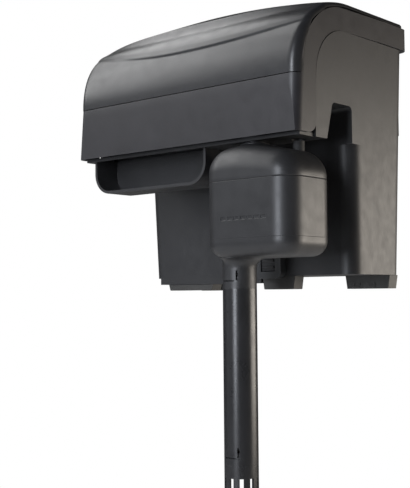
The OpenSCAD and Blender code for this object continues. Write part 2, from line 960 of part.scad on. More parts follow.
// Groove or ring of section radius r round a tube
module ring_at(x, y, z, mid_r, r) {
    translate([x, y, z])
        rotate_extrude()
            translate([mid_r, 0])
                circle(r, $fn = 24);
}

module outlet_tube() {
    color([0.3, 0.3, 0.31])
        difference() {
            sleeve(outlet_x, outlet_y, outlet_seat, outlet_top, outlet_r, outlet_r - outlet_wall);
            difference() {
                post(outlet_x, outlet_y, outlet_top - o_ring_drop - 0.6, outlet_top - o_ring_drop + 0.6, outlet_r + cut);
                post(outlet_x, outlet_y, outlet_top - o_ring_drop - 1, outlet_top - o_ring_drop + 1,
                    outlet_r - 2 * o_ring_r - 0.05);
            }
        }
}

module outlet_o_ring() {
    color([0.08, 0.08, 0.08])
        ring_at(outlet_x, outlet_y, outlet_top - o_ring_drop, outlet_r - o_ring_r, o_ring_r - 0.02);
}

can_in_r = magnet_r + magnet_gap;
can_out_r = can_in_r + can_wall;
magnet_low = deck_top + 2.5;
magnet_top = magnet_low + magnet_l;
can_top = magnet_top + 5;
shaft_low = chamber_low - bush_h;
shaft_top = can_top - can_wall - 0.2;

module rotor_can() {
    color([0.55, 0.55, 0.56])
        difference() {
            union() {
                post(motor_x, motor_y, deck_top, can_top, can_out_r);
                post(motor_x, motor_y, deck_top, deck_top + 1.5, volute_r);
            }
            post(motor_x, motor_y, deck_top - cut, magnet_top + 1, can_in_r);
            post(motor_x, motor_y, magnet_top, can_top - can_wall, bush_r + bush_gap);
        }
}

core_gap = 0.3;
pole_r = can_out_r + core_gap;
leg_d = 7;
core_w = 18;
coil_low = can_top + 1;
coil_h = 11;
core_top = coil_low + coil_h + 7.5;
leg_in = 3.5;
coil_t = 4;

// Laminated iron horseshoe: two legs that embrace the rotor can, joined above the coils
module stator_core() {
    leg_y = pole_r - 1;
    color([0.5, 0.5, 0.52])
        difference() {
            block(motor_x - core_w / 2, motor_x + core_w / 2, motor_y - leg_y - leg_d, motor_y + leg_y + leg_d,
                deck_top + 2, core_top);
            post(motor_x, motor_y, deck_top, coil_low - 0.5, pole_r);
            block(motor_x - core_w, motor_x + core_w, motor_y - leg_y, motor_y + leg_y, coil_low - 1, core_top - 7);
            block(motor_x - core_w, motor_x + core_w, motor_y - leg_in, motor_y + leg_in, deck_top, coil_low);
        }
}

// Winding round one leg of the core, on the side that side names
module coil(side) {
    mid = motor_y + side * (pole_r - 1 + leg_d / 2);
    color([0.72, 0.4, 0.2])
        difference() {
            block(motor_x - core_w / 2 - coil_t, motor_x + core_w / 2 + coil_t,
                mid - leg_d / 2 - coil_t, mid + leg_d / 2 + coil_t, coil_low, coil_low + coil_h);
            block(motor_x - core_w / 2 - 0.1, motor_x + core_w / 2 + 0.1,
                mid - leg_d / 2 - 0.1, mid + leg_d / 2 + 0.1, coil_low - cut, coil_low + coil_h + cut);
        }
}

module rotor_magnet() {
    color([0.3, 0.3, 0.32])
        sleeve(motor_x, motor_y, magnet_low, magnet_top, magnet_r, shaft_r + shaft_gap);
}

module impeller() {
    disc_low = chamber_low + 1.5 + blade_h;
    color([0.85, 0.85, 0.82])
        difference() {
            union() {
                post(motor_x, motor_y, disc_low, disc_low + 1, impeller_r);
                post(motor_x, motor_y, disc_low - blade_h, magnet_low, hub_r);
                translate([motor_x, motor_y, disc_low - blade_h])
                    for (a = [0:360 / blade_count:359])
                        rotate([0, 0, a])
                            translate([hub_r - 0.8, -0.7, 0])
                                cube([impeller_r - hub_r + 0.3, 1.4, blade_h + 0.2]);
            }
            post(motor_x, motor_y, chamber_low, magnet_low + cut, shaft_r + shaft_gap);
        }
}

module rotor_shaft() {
    color([0.93, 0.93, 0.9])
        post(motor_x, motor_y, shaft_low, shaft_top, shaft_r);
}

module upper_bush() {
    color([0.1, 0.1, 0.1])
        sleeve(motor_x, motor_y, can_top - can_wall - 3, can_top - can_wall, bush_r, shaft_r + bush_gap);
}

module lower_bush() {
    color([0.1, 0.1, 0.1])
        sleeve(motor_x, motor_y, chamber_low - bush_h, chamber_low, bush_r, shaft_r + bush_gap);
}

module cable_gland() {
    color([0.1, 0.1, 0.1])
        sleeve(gland_x, gland_y, -pump_top_drop - 8, gland_top, gland_r, gland_bore_r);
}

// ---- Intake ----

spigot_r = neck_bore_r - spigot_gap;
spigot_bore_r = spigot_r - 2.2;
tube_low = -neck_drop - tube_l;
seal_r = 0.75;
seal_drop = 4;

// Plug on top of a tube that slips into the piece above it
module spigot(z) {
    difference() {
        post(tube_x, tube_y, z - skin, z + spigot_l, spigot_r);
        post(tube_x, tube_y, z - cut, z + spigot_l + cut, spigot_bore_r);
        difference() {
            post(tube_x, tube_y, z + spigot_l - seal_drop - 1, z + spigot_l - seal_drop + 1, spigot_r + cut);
            post(tube_x, tube_y, z + spigot_l - seal_drop - 2, z + spigot_l - seal_drop + 2,
                spigot_r - 2 * seal_r - 0.1);
        }
    }
}

module intake_tube() {
    color([0.2, 0.2, 0.21]) {
        spigot(-neck_drop);
        difference() {
            post(tube_x, tube_y, tube_low, -neck_drop, tube_r);
            post(tube_x, tube_y, tube_low - cut, -neck_drop - 3, neck_bore_r);
            post(tube_x, tube_y, -neck_drop - 4, -neck_drop + cut, spigot_bore_r);
            latch_cut(tube_low + 5, tube_r);
        }
    }
}

module tube_o_ring() {
    color([0.08, 0.08, 0.08])
        ring_at(tube_x, tube_y, -neck_drop + spigot_l - seal_drop, spigot_r - seal_r, seal_r - 0.02);
}

strainer_low = tube_low - strainer_l;
slot_margin = 9;
slot_turn = -14;

module strainer() {
    color([0.2, 0.2, 0.21]) {
        spigot(tube_low);
        difference() {
            post(tube_x, tube_y, strainer_low, tube_low, tube_r);
            post(tube_x, tube_y, strainer_low - cut, tube_low - 3, neck_bore_r);
            post(tube_x, tube_y, tube_low - 4, tube_low + cut, spigot_bore_r);
            translate([tube_x, tube_y, strainer_low + slot_margin])
                for (i = [0:strainer_slots - 1])
                    rotate([0, 0, i * 360 / strainer_slots + slot_turn])
                        translate([spigot_bore_r, -strainer_slot_w / 2, 0])
                            cube([tube_r, strainer_slot_w, strainer_l - 2 * slot_margin]);
        }
    }
}

cap_t = 4;
cap_plug = 6;

module strainer_cap() {
    color([0.18, 0.18, 0.18]) {
        post(tube_x, tube_y, strainer_low - cap_t, strainer_low, tube_r);
        sleeve(tube_x, tube_y, strainer_low - skin, strainer_low + cap_plug,
            neck_bore_r - spigot_gap, neck_bore_r - 2);
    }
}

// ---- Media ----

basket_x0 = left_x(-case_drop) + wall + basket_gap;
basket_x1 = divider_x - basket_gap;
basket_y0 = wall_y(-case_drop) + wall + basket_gap + 0.4;
basket_y1 = back_y(-case_drop) - wall - basket_gap;
basket_low = -case_drop + case_floor;
basket_corner_r = case_corner_r - wall - basket_gap;
bed_low = basket_low + basket_wall;
rings_low = bed_low + sponge_h;
bag_low = rings_low + ring_h;
pad_low = bag_low + bag_h;
media_gap = 0.5;

// Upright prism inside the basket, drawn in by t
module basket_prism(z0, z1, t) {
    translate([0, 0, z0])
        linear_extrude(z1 - z0)
            round_rect(basket_x0 + t, basket_x1 - t, basket_y0 + t, basket_y1 - t, basket_corner_r - t);
}

grate_pitch = 8;
grate_slot = 4;
window_low = bed_low + 6;
window_h = 26;

module media_basket() {
    color([0.3, 0.32, 0.35])
        difference() {
            basket_prism(basket_low, basket_low + basket_h, 0);
            basket_prism(bed_low, basket_low + basket_h + cut, basket_wall);
            for (x = [basket_x0 + 12:grate_pitch:basket_x1 - 14])
                block(x, x + grate_slot, basket_y0 + 8, basket_y1 - 8, basket_low - cut, bed_low + cut);
            for (y = [basket_y0 + 12:grate_pitch:basket_y1 - 14])
                block(basket_x1 - basket_wall - cut, basket_x1 + cut, y, y + grate_slot,
                    window_low, window_low + window_h);
        }
}

handle_t = 4;
handle_w = 8;
handle_top = 20;
handle_low = -24;

module basket_handle() {
    y = (basket_y0 + basket_y1) / 2;
    x0 = basket_x0 + basket_wall;
    x1 = basket_x1 - basket_wall;
    top = basket_low + basket_h;
    color([0.35, 0.36, 0.38]) {
        block(x0, x0 + handle_t, y - handle_w / 2, y + handle_w / 2, top + handle_low, top + handle_top);
        block(x1 - handle_t, x1, y - handle_w / 2, y + handle_w / 2, top + handle_low, top + handle_top);
        block(x0, x1, y - handle_w / 2, y + handle_w / 2, top + handle_top - handle_t, top + handle_top);
    }
}

module coarse_sponge() {
    color([0.12, 0.14, 0.18])
        basket_prism(bed_low, rings_low, basket_wall + media_gap);
}

ring_pitch = 2 * ring_r + 6;

module ceramic_rings() {
    color([0.85, 0.8, 0.72])
        for (x = [basket_x0 + 14:ring_pitch:basket_x1 - 14], y = [basket_y0 + 12:ring_pitch:basket_y1 - 12])
            sleeve(x, y, rings_low, bag_low, ring_r, ring_bore_r);
}

module carbon_bag() {
    color([0.2, 0.2, 0.22])
        basket_prism(bag_low, pad_low, basket_wall + 2);
}

module fine_pad() {
    color([0.9, 0.92, 0.95])
        basket_prism(pad_low, pad_low + floss_h, basket_wall + media_gap);
}

case();
hood();
lid();
hinge_pin(-hinge_x);  // left_hinge_pin
hinge_pin(hinge_x);  // right_hinge_pin
spout();
riser();
front_left_foot();
front_middle_foot();
rear_left_foot();
rear_right_foot();
level_guide();
level_spacer();
pump_dome();
pump_sleeve();
pump_base();
volute();
volute_cover();
outlet_tube();
outlet_o_ring();
rotor_can();
stator_core();
coil(-1);  // left_coil
coil(1);  // right_coil
rotor_magnet();
impeller();
rotor_shaft();
upper_bush();
lower_bush();
cable_gland();
intake_tube();
tube_o_ring();
strainer();
strainer_cap();
media_basket();
basket_handle();
coarse_sponge();
ceramic_rings();
carbon_bag();
fine_pad();
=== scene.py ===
import json
import math

import bmesh
import bpy
from mathutils import Matrix, Vector, noise


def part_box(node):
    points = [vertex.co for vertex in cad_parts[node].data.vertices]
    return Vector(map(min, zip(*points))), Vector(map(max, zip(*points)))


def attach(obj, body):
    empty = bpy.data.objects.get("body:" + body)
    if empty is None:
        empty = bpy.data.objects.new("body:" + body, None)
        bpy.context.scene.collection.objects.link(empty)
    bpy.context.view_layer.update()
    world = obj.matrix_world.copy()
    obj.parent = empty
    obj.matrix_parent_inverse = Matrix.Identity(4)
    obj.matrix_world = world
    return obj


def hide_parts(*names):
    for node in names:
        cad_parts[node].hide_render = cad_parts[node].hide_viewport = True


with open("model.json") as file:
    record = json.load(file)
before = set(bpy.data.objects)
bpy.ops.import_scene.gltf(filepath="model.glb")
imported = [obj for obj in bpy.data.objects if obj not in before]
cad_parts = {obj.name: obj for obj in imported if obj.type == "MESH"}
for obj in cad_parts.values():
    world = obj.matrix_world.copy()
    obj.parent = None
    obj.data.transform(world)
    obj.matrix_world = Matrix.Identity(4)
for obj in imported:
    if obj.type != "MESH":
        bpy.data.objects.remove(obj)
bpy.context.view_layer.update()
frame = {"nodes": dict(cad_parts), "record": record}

MM = 0.001


# ---- Camera, lights and floor ----

CAMERA_PLACE = Vector((517.4, -610.9, -137.8)) * MM
CAMERA_AZIMUTH = 41.457     # degrees that the view is turned from +Y towards -X
CAMERA_PITCH = 2.919        # degrees that the view looks up
CAMERA_ROLL = -0.471
CAMERA_LENS = 74.41         # in mm, for the sensor's width in mm
SENSOR_WIDTH = 36
LIT_POINT = Vector((0, 0, -40)) * MM
ROOM_STRENGTH = 0.015
FLOOR_HEIGHT = -620 * MM


def make_camera():
    """Camera at the place the filter was photographed from: low, right of the front."""
    azimuth, pitch, roll = (math.radians(a) for a in (CAMERA_AZIMUTH, CAMERA_PITCH, CAMERA_ROLL))
    side = Vector((math.cos(azimuth), math.sin(azimuth), 0))
    ahead = Vector((-math.sin(azimuth), math.cos(azimuth), 0))
    forward = ahead * math.cos(pitch) + Vector((0, 0, math.sin(pitch)))
    above = side.cross(forward)
    right = side * math.cos(roll) + above * math.sin(roll)
    up = above * math.cos(roll) - side * math.sin(roll)
    data = bpy.data.cameras.new("camera")
    data.sensor_width = SENSOR_WIDTH
    data.lens = CAMERA_LENS
    camera = bpy.data.objects.new("camera", data)
    bpy.context.collection.objects.link(camera)
    turn = Matrix((right, up, -forward)).transposed().to_4x4()
    camera.matrix_world = Matrix.Translation(CAMERA_PLACE) @ turn
    bpy.context.scene.camera = camera


def softbox(name, azimuth, elevation, width, height, power, colour, distance=1.3):
    """Area light aimed at the object, from an azimuth off +X and an elevation, both in degrees."""
    a, e = math.radians(azimuth), math.radians(elevation)
    away = Vector((math.cos(a) * math.cos(e), math.sin(a) * math.cos(e), math.sin(e)))
    data = bpy.data.lights.new(name, "AREA")
    data.shape = "RECTANGLE"
    data.size = width
    data.size_y = height
    data.energy = power
    data.color = colour
    light = bpy.data.objects.new(name, data)
    light.location = LIT_POINT + away * distance
    light.rotation_mode = "QUATERNION"
    light.rotation_quaternion = away.to_track_quat("Z", "Y")
    bpy.context.collection.objects.link(light)


def make_lights():
    """Cool light on the fronts, white light over the lid from the left, warm light on the right side."""
    cool, warm, white = (0.88, 0.92, 1), (1, 0.92, 0.82), (1, 1, 1)
    softbox("key_front", azimuth=-84, elevation=10, width=0.4, height=1.0, power=16, colour=cool)
    softbox("crown_left", azimuth=-179, elevation=50, width=3.2, height=1.4, power=58, colour=white,
            distance=5)
    softbox("shoulder_left", azimuth=-150, elevation=32, width=1.4, height=1.4, power=29, colour=white,
            distance=3)
    softbox("fill_front_left", azimuth=-135, elevation=5, width=0.9, height=0.9, power=0.9, colour=cool)
    softbox("side_right", azimuth=44, elevation=-4, width=0.95, height=0.5, power=11, colour=warm)


def make_world():
    """White to the camera, dim grey to everything else, as round a cleared studio table."""
    world = bpy.data.worlds.new("studio")
    bpy.context.scene.world = world
    world.use_nodes = True
    nodes, links = world.node_tree.nodes, world.node_tree.links
    nodes.clear()
    seen = nodes.new("ShaderNodeBackground")
    seen.inputs["Color"].default_value = (1, 1, 1, 1)
    seen.inputs["Strength"].default_value = 1.0
    room = nodes.new("ShaderNodeBackground")
    room.inputs["Color"].default_value = (0.9, 0.95, 1, 1)
    room.inputs["Strength"].default_value = ROOM_STRENGTH
    path = nodes.new("ShaderNodeLightPath")
    mix = nodes.new("ShaderNodeMixShader")
    out = nodes.new("ShaderNodeOutputWorld")
    links.new(path.outputs["Is Camera Ray"], mix.inputs["Fac"])
    links.new(room.outputs[0], mix.inputs[1])
    links.new(seen.outputs[0], mix.inputs[2])
    links.new(mix.outputs[0], out.inputs["Surface"])


def set_view():
    """Plain display of the rendered colours, as in a product photograph."""
    bpy.context.scene.view_settings.view_transform = "Standard"


def make_floor():
    """Round pale floor, well below the strainer, since the filter hangs."""
    bpy.ops.mesh.primitive_circle_add(vertices=96, radius=1.6, fill_type="NGON",
                                      location=(0, 0, FLOOR_HEIGHT))
    floor = bpy.context.object
    floor.name = "floor"
    material = bpy.data.materials.new("pale_floor")
    material.use_nodes = True
    shader = material.node_tree.nodes["Principled BSDF"]
    shader.inputs["Base Color"].default_value = (0.86, 0.86, 0.86, 1)
    shader.inputs["Roughness"].default_value = 0.8
    floor.data.materials.append(material)


# ---- Materials ----

class Shader:
    """Principled material, with short names for the nodes that the finishes below share.

    Sizes of textures are in metres, and every texture is laid out in object coordinates.
    """

    def __init__(self, name):
        self.material = bpy.data.materials.new(name)
        self.material.use_nodes = True
        self.tree = self.material.node_tree
        self.principled = self.tree.nodes["Principled BSDF"]
        self.place = self.add("ShaderNodeTexCoord").outputs["Object"]

    def add(self, kind, **values):
        node = self.tree.nodes.new(kind)
        for key, value in values.items():
            setattr(node, key, value)
        return node

    def link(self, source, target):
        self.tree.links.new(source, target)

    def texture(self, node, size, place=None, **inputs):
        """Sets a texture node's size, place and other inputs, and returns the node."""
        node.inputs["Scale"].default_value = 1 / size
        for name, value in inputs.items():
            node.inputs[name].default_value = value
        self.link(place or self.place, node.inputs["Vector"])
        return node

    def stretched(self, scale):
        """Object coordinates scaled along X, Y and Z."""
        node = self.add("ShaderNodeMapping")
        node.inputs["Scale"].default_value = scale
        self.link(self.place, node.inputs["Vector"])
        return node.outputs[0]

    def noise(self, size, detail=3, roughness=0.55, distortion=0.0, place=None):
        node = self.texture(self.add("ShaderNodeTexNoise"), size, place,
                            Detail=detail, Roughness=roughness, Distortion=distortion)
        return node.outputs["Fac"]

    def cells(self, size, feature="F1"):
        """Distance from the middle of the nearest cell, or from its edge."""
        return self.texture(self.add("ShaderNodeTexVoronoi", feature=feature), size).outputs["Distance"]

    def bands(self, direction, size, distortion):
        node = self.add("ShaderNodeTexWave", wave_type="BANDS", bands_direction=direction)
        return self.texture(node, size, Distortion=distortion).outputs["Fac"]

    def ramp(self, source, low, high, to_low=0.0, to_high=1.0):
        """Maps the range low to high onto to_low to to_high, and clamps beyond it."""
        node = self.add("ShaderNodeMapRange")
        node.inputs["From Min"].default_value = low
        node.inputs["From Max"].default_value = high
        node.inputs["To Min"].default_value = to_low
        node.inputs["To Max"].default_value = to_high
        self.link(source, node.inputs["Value"])
        return node.outputs["Result"]

    def clouded(self, size, low, high, detail=3):
        """Value between low and high that drifts over the surface; used for roughness."""
        return self.ramp(self.noise(size, detail), 0.3, 0.7, low, high)

    def math(self, operation, a, b=0.0):
        node = self.add("ShaderNodeMath", operation=operation)
        for socket, value in zip(node.inputs, (a, b)):
            if isinstance(value, (int, float)):
                socket.default_value = value
            else:
                self.link(value, socket)
        return node.outputs[0]

    def mix(self, fac, a, b):
        """Blend of two colours, each a tuple or a socket."""
        node = self.add("ShaderNodeMix", data_type="RGBA")
        self.link(fac, node.inputs[0])
        for socket, value in ((node.inputs[6], a), (node.inputs[7], b)):
            if isinstance(value, tuple):
                socket.default_value = (*value, 1)
            else:
                self.link(value, socket)
        return node.outputs[2]

    def edges(self, radius):
        """How far the surface turns within a radius: 0 on flat faces, 1 on sharp edges."""
        bevel = self.add("ShaderNodeBevel", samples=4)
        bevel.inputs["Radius"].default_value = radius
        plain = self.add("ShaderNodeNewGeometry")
        dot = self.add("ShaderNodeVectorMath", operation="DOT_PRODUCT")
        self.link(bevel.outputs[0], dot.inputs[0])
        self.link(plain.outputs["Normal"], dot.inputs[1])
        flat, sharp = 0.995, 0.85
        return self.ramp(dot.outputs["Value"], flat, sharp)

    def finish(self, colour, roughness, height, depth):
        """Joins colour, roughness and a relief of a depth in metres to the shader."""
        self.link(colour, self.principled.inputs["Base Color"])
        self.link(roughness, self.principled.inputs["Roughness"])
        bump = self.add("ShaderNodeBump")
        bump.inputs["Distance"].default_value = depth
        bump.inputs["Strength"].default_value = 1.0
        self.link(height, bump.inputs["Height"])
        self.link(bump.outputs[0], self.principled.inputs["Normal"])
        return self.material


def scaled(colour, factor):
    """Colour made paler or darker by a factor."""
    return tuple(min(1, c * factor) for c in colour)


def moulded(name, colour, roughness=0.45, grain=0.6 * MM, depth=0.02 * MM, wear=0.5, tone=0.16):
    """Spark-textured moulded plastic: cloudy tone, pale specks, fine grain, edges rubbed paler."""
    speck_tone, rubbed_tone = 1.35, 2.4
    gloss_drift, rubbed_gloss = 0.05, 0.08
    s = Shader(name)
    cloud = s.ramp(s.noise(35 * MM, detail=4), 0.3, 0.7)
    base = s.mix(cloud, scaled(colour, 1 - tone), scaled(colour, 1 + tone))
    speck = s.ramp(s.noise(1.4 * MM, detail=2), 0.35, 0.75, to_high=0.35)
    base = s.mix(speck, base, scaled(colour, speck_tone))
    patches = s.ramp(s.noise(6 * MM), 0.4, 0.65, to_high=wear)
    rubbed = s.math("MULTIPLY", s.edges(0.7 * MM), patches)
    base = s.mix(rubbed, base, scaled(colour, rubbed_tone))
    drift = s.ramp(s.noise(9 * MM, detail=4), 0.25, 0.75, roughness - gloss_drift, roughness + gloss_drift)
    rough = s.math("ADD", drift, s.math("MULTIPLY", rubbed, -rubbed_gloss))
    coarse = s.math("MULTIPLY", s.noise(4 * grain, detail=2), 0.5)
    relief = s.math("ADD", s.noise(grain, detail=2), coarse)
    return s.finish(base, rough, relief, depth)


def metal(name, colour, roughness, brushed=0.4 * MM):
    """Ground metal with fine scratches along X and cloudy sheen."""
    s = Shader(name)
    s.principled.inputs["Metallic"].default_value = 1.0
    scratch = s.noise(brushed, detail=2, roughness=0.5, place=s.stretched((0.06, 1, 1)))
    base = s.mix(scratch, scaled(colour, 0.8), scaled(colour, 1.1))
    rough = s.clouded(5 * MM, roughness - 0.07, roughness + 0.1)
    return s.finish(base, rough, scratch, 0.01 * MM)


def laminated(name, colour):
    """Thin iron sheets stacked along X and seen on edge."""
    s = Shader(name)
    s.principled.inputs["Metallic"].default_value = 0.9
    sheets = s.bands("X", 3.2 * MM, distortion=0.4)
    base = s.mix(sheets, scaled(colour, 0.55), scaled(colour, 1.2))
    return s.finish(base, s.clouded(4 * MM, 0.35, 0.5), sheets, 0.06 * MM)


def wound(name, colour):
    """Enamelled wire laid turn over turn, up the coil, painted darker in the grooves between turns as
    painted shade.
    """
    s = Shader(name)
    s.principled.inputs["Metallic"].default_value = 0.85
    turns = s.bands("Z", 2.2 * MM, distortion=0.6)
    # painted shade: the grooves between turns are darkened to 0.45 of the wire's colour
    base = s.mix(turns, scaled(colour, 0.45), colour)
    return s.finish(base, s.clouded(3 * MM, 0.25, 0.4), turns, 0.15 * MM)


def rubber(name, colour):
    """Dull black rubber with a fine bloom."""
    s = Shader(name)
    bloom = s.ramp(s.noise(3 * MM), 0.35, 0.7)
    base = s.mix(bloom, scaled(colour, 0.7), scaled(colour, 1.6))
    return s.finish(base, s.clouded(1.5 * MM, 0.6, 0.8), s.noise(0.4 * MM), 0.02 * MM)


def ceramic(name, colour, pore, depth, roughness):
    """Fired clay with pores of a size and depth, the pores painted darker as painted shade in them."""
    s = Shader(name)
    pits_and_painted_shade = s.ramp(s.cells(pore), 0.1, 0.45)
    body = s.mix(s.ramp(s.noise(8 * MM), 0.3, 0.7), scaled(colour, 0.88), colour)
    # painted shade: the pores are darkened to 0.6 of the clay's colour
    base = s.mix(pits_and_painted_shade, scaled(colour, 0.6), body)
    rough = s.clouded(2 * MM, roughness - 0.08, roughness + 0.08)
    return s.finish(base, rough, pits_and_painted_shade, depth)


def foam(name, colour, pore):
    """Open-cell foam: paler struts, with painted shade in the pores between them."""
    s = Shader(name)
    strut_mask_and_pore_shade = s.ramp(s.cells(pore, feature="DISTANCE_TO_EDGE"), 0.22, 0.02)
    struts = s.mix(s.noise(6 * MM), colour, scaled(colour, 1.7))
    # painted shade: the pores between the struts are painted at 0.12 of the foam's colour
    base = s.mix(strut_mask_and_pore_shade, scaled(colour, 0.12), struts)
    s.principled.inputs["Sheen Weight"].default_value = 0.2
    return s.finish(base, s.clouded(2 * MM, 0.8, 0.95), strut_mask_and_pore_shade, 0.9 * MM)


def netting(name, colour, pitch):
    """Knitted net, its threads crossing slantwise, over dark granules painted paler in the middle and
    darker at the edge, as painted light and shade.
    """
    granule_size = 2.6 * MM
    granule_painted_light, granule_painted_shade = (0.03, 0.03, 0.032), (0.006, 0.006, 0.006)
    s = Shader(name)
    axes = s.add("ShaderNodeSeparateXYZ")
    s.link(s.place, axes.inputs[0])
    x, y, z = (axes.outputs[axis] for axis in "XYZ")
    threads = []
    for slant in ("ADD", "SUBTRACT"):
        along = s.math("ADD", s.math(slant, x, y), z)
        wave = s.math("SINE", s.math("MULTIPLY", along, 2 * math.pi / pitch))
        threads.append(s.ramp(wave, 0.45, 0.95))
    thread = s.math("MAXIMUM", *threads)
    distance = s.cells(granule_size)
    # painted light and shade: each granule is paler in its middle and darker towards its edge, where shade
    # falls between granules
    granule_painted_shading = s.mix(s.ramp(distance, 0.0, 0.6), granule_painted_light, granule_painted_shade)
    base = s.mix(thread, granule_painted_shading, colour)
    height = s.math("ADD", s.math("MULTIPLY", thread, 0.7), s.ramp(distance, 0.6, 0.0, to_high=0.6))
    return s.finish(base, s.clouded(2 * MM, 0.5, 0.75), height, 0.6 * MM)


def fleece(name, colour):
    """Loose white fibre matted into a pad, most of it along X."""
    s = Shader(name)
    strand = s.noise(5 * MM, detail=6, roughness=0.5, distortion=2.5, place=s.stretched((1, 5, 3)))
    fibre = s.ramp(strand, 0.35, 0.62)
    base = s.mix(fibre, scaled(colour, 0.62), colour)
    s.principled.inputs["Sheen Weight"].default_value = 0.5
    s.principled.inputs["Subsurface Weight"].default_value = 0.1
    return s.finish(base, s.clouded(3 * MM, 0.85, 1.0), fibre, 1.1 * MM)


def make_materials():
    """One material for each of the record's slots."""
    return {
        "case_plastic": moulded("case_plastic", (0.021, 0.021, 0.022), 0.46),
        "hood_plastic": moulded("hood_plastic", (0.022, 0.021, 0.023), 0.44),
        "lid_plastic": moulded("lid_plastic", (0.022, 0.022, 0.023), 0.33),
        "foot_plastic": moulded("foot_plastic", (0.035, 0.034, 0.032), 0.55),
        "guide_plastic": moulded("guide_plastic", (0.035, 0.036, 0.037), 0.4),
        "spacer_plastic": moulded("spacer_plastic", (0.015, 0.015, 0.016), 0.5),
        "pump_plastic": moulded("pump_plastic", (0.022, 0.022, 0.023), 0.42),
        "tube_plastic": moulded("tube_plastic", (0.020, 0.020, 0.021), 0.3, depth=0.008 * MM),
        "works_plastic": moulded("works_plastic", (0.055, 0.055, 0.058), 0.4),
        "pin_steel": metal("pin_steel", (0.62, 0.62, 0.64), 0.25),
        "seal_rubber": rubber("seal_rubber", (0.02, 0.02, 0.02)),
        "core_iron": laminated("core_iron", (0.33, 0.33, 0.35)),
        "coil_wire": wound("coil_wire", (0.62, 0.24, 0.09)),
        "magnet": metal("magnet", (0.12, 0.12, 0.13), 0.5, brushed=0.8 * MM),
        "impeller_plastic": moulded("impeller_plastic", (0.70, 0.71, 0.68), 0.4, wear=0.1, tone=0.05),
        "shaft_ceramic": ceramic("shaft_ceramic", (0.86, 0.85, 0.80),
                                 pore=0.4 * MM, depth=0.004 * MM, roughness=0.2),
        "basket_plastic": moulded("basket_plastic", (0.060, 0.064, 0.070), 0.38),
        "sponge_foam": foam("sponge_foam", (0.045, 0.065, 0.11), pore=2.2 * MM),
        "ring_ceramic": ceramic("ring_ceramic", (0.72, 0.62, 0.48),
                                pore=0.9 * MM, depth=0.25 * MM, roughness=0.8),
        "bag_mesh": netting("bag_mesh", (0.16, 0.16, 0.17), pitch=2.4 * MM),
        "pad_fibre": fleece("pad_fibre", (0.82, 0.86, 0.90)),
    }


# ---- Mesh helpers ----

WELD_DISTANCE = 0.002 * MM
FLAT_ANGLE = 0.02                # degrees; faces that turn less than this are one flat face
SHARP_ANGLE = 32                 # degrees; edges that turn more than this are shaded sharp
LARGE_FACE = 200 * MM * MM


def body_of(node):
    """Name of the moving body that a CAD node belongs to."""
    for body, nodes in frame["record"]["behaviour"]["bodies"].items():
        if node in nodes:
            return body
    raise KeyError(node)


def slot_of(node):
    """Name of a CAD node's material slot."""
    for row in frame["record"]["subparts"]:
        if row["node"] == node:
            return row["material_slot"]
    raise KeyError(node)


def mark_sharp(bm, degrees):
    """Smooth shading, broken at sharp edges and round each large flat face."""
    limit, slight, small_share = math.radians(degrees), math.radians(0.5), 0.3
    for edge in bm.edges:
        if len(edge.link_faces) != 2:
            continue
        angle = edge.calc_face_angle(0)
        areas = sorted(face.calc_area() for face in edge.link_faces)
        beside_large = areas[1] > LARGE_FACE and areas[0] < small_share * areas[1]
        if angle > limit or (angle > slight and beside_large):
            edge.smooth = False
    for face in bm.faces:
        face.smooth = True


def stand_for(node, name, bm, sharp=SHARP_ANGLE):
    """Turns a bmesh into the piece that stands for a CAD node."""
    bmesh.ops.recalc_face_normals(bm, faces=bm.faces)
    mark_sharp(bm, sharp)
    mesh = bpy.data.meshes.new(name)
    bm.to_mesh(mesh)
    bm.free()
    piece = bpy.data.objects.new(name, mesh)
    bpy.context.collection.objects.link(piece)
    mesh.materials.append(MATERIALS[slot_of(node)])
    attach(piece, body_of(node))
    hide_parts(node)
    return piece


def node_bmesh(node):
    """The CAD node's mesh, welded and with its flat faces made whole."""
    bm = bmesh.new()
    bm.from_mesh(frame["nodes"][node].data)
    bmesh.ops.remove_doubles(bm, verts=bm.verts, dist=WELD_DISTANCE)
    bmesh.ops.dissolve_limit(bm, angle_limit=math.radians(FLAT_ANGLE), verts=bm.verts, edges=bm.edges)
    return bm


def round_edges(piece, width):
    """Rounds a piece's edges and keeps its flat faces flat in the light."""
    bevel = piece.modifiers.new("edge", "BEVEL")
    bevel.width = width
    bevel.segments = 3
    bevel.limit_method = "ANGLE"
    bevel.angle_limit = math.radians(28)
    bevel.use_clamp_overlap = True
    normals = piece.modifiers.new("normals", "WEIGHTED_NORMAL")
    normals.weight = 100
    normals.keep_sharp = True


def softened(node, name, width):
    """Copy of a CAD node with its edges rounded as a mould leaves them."""
    piece = stand_for(node, name, node_bmesh(node))
    round_edges(piece, width)
    return piece


def bake(piece):
    """Puts what the modifiers make into the piece's mesh."""
    bpy.context.view_layer.update()
    result = bpy.data.meshes.new_from_object(piece.evaluated_get(bpy.context.evaluated_depsgraph_get()))
    piece.modifiers.clear()
    piece.data = result


def grid_faces(rows, columns, closed=False):
    """Quads over a grid of vertices numbered row by row, or all round a ring of rings if closed."""
    faces = []
    for i in range(rows if closed else rows - 1):
        here, there = i * columns, (i + 1) % rows * columns
        for j in range(columns if closed else columns - 1):
            k = (j + 1) % columns
            faces.append((here + j, here + k, there + k, there + j))
    return faces


def add_mesh(bm, points, faces):
    verts = [bm.verts.new(point) for point in points]
    for face in faces:
        bm.faces.new([verts[i] for i in face])


def add_ring_along_x(bm, middle, bore, radius, width, steps=40):
    """Round ring with its axis along X."""
    section = ((-width / 2, bore), (-width / 2, radius), (width / 2, radius), (width / 2, bore))
    turns = [2 * math.pi * i / steps for i in range(steps)]
    points = [middle + Vector((x, r * math.cos(t), r * math.sin(t))) for x, r in section for t in turns]
    add_mesh(bm, points, grid_faces(len(section), steps, closed=True))


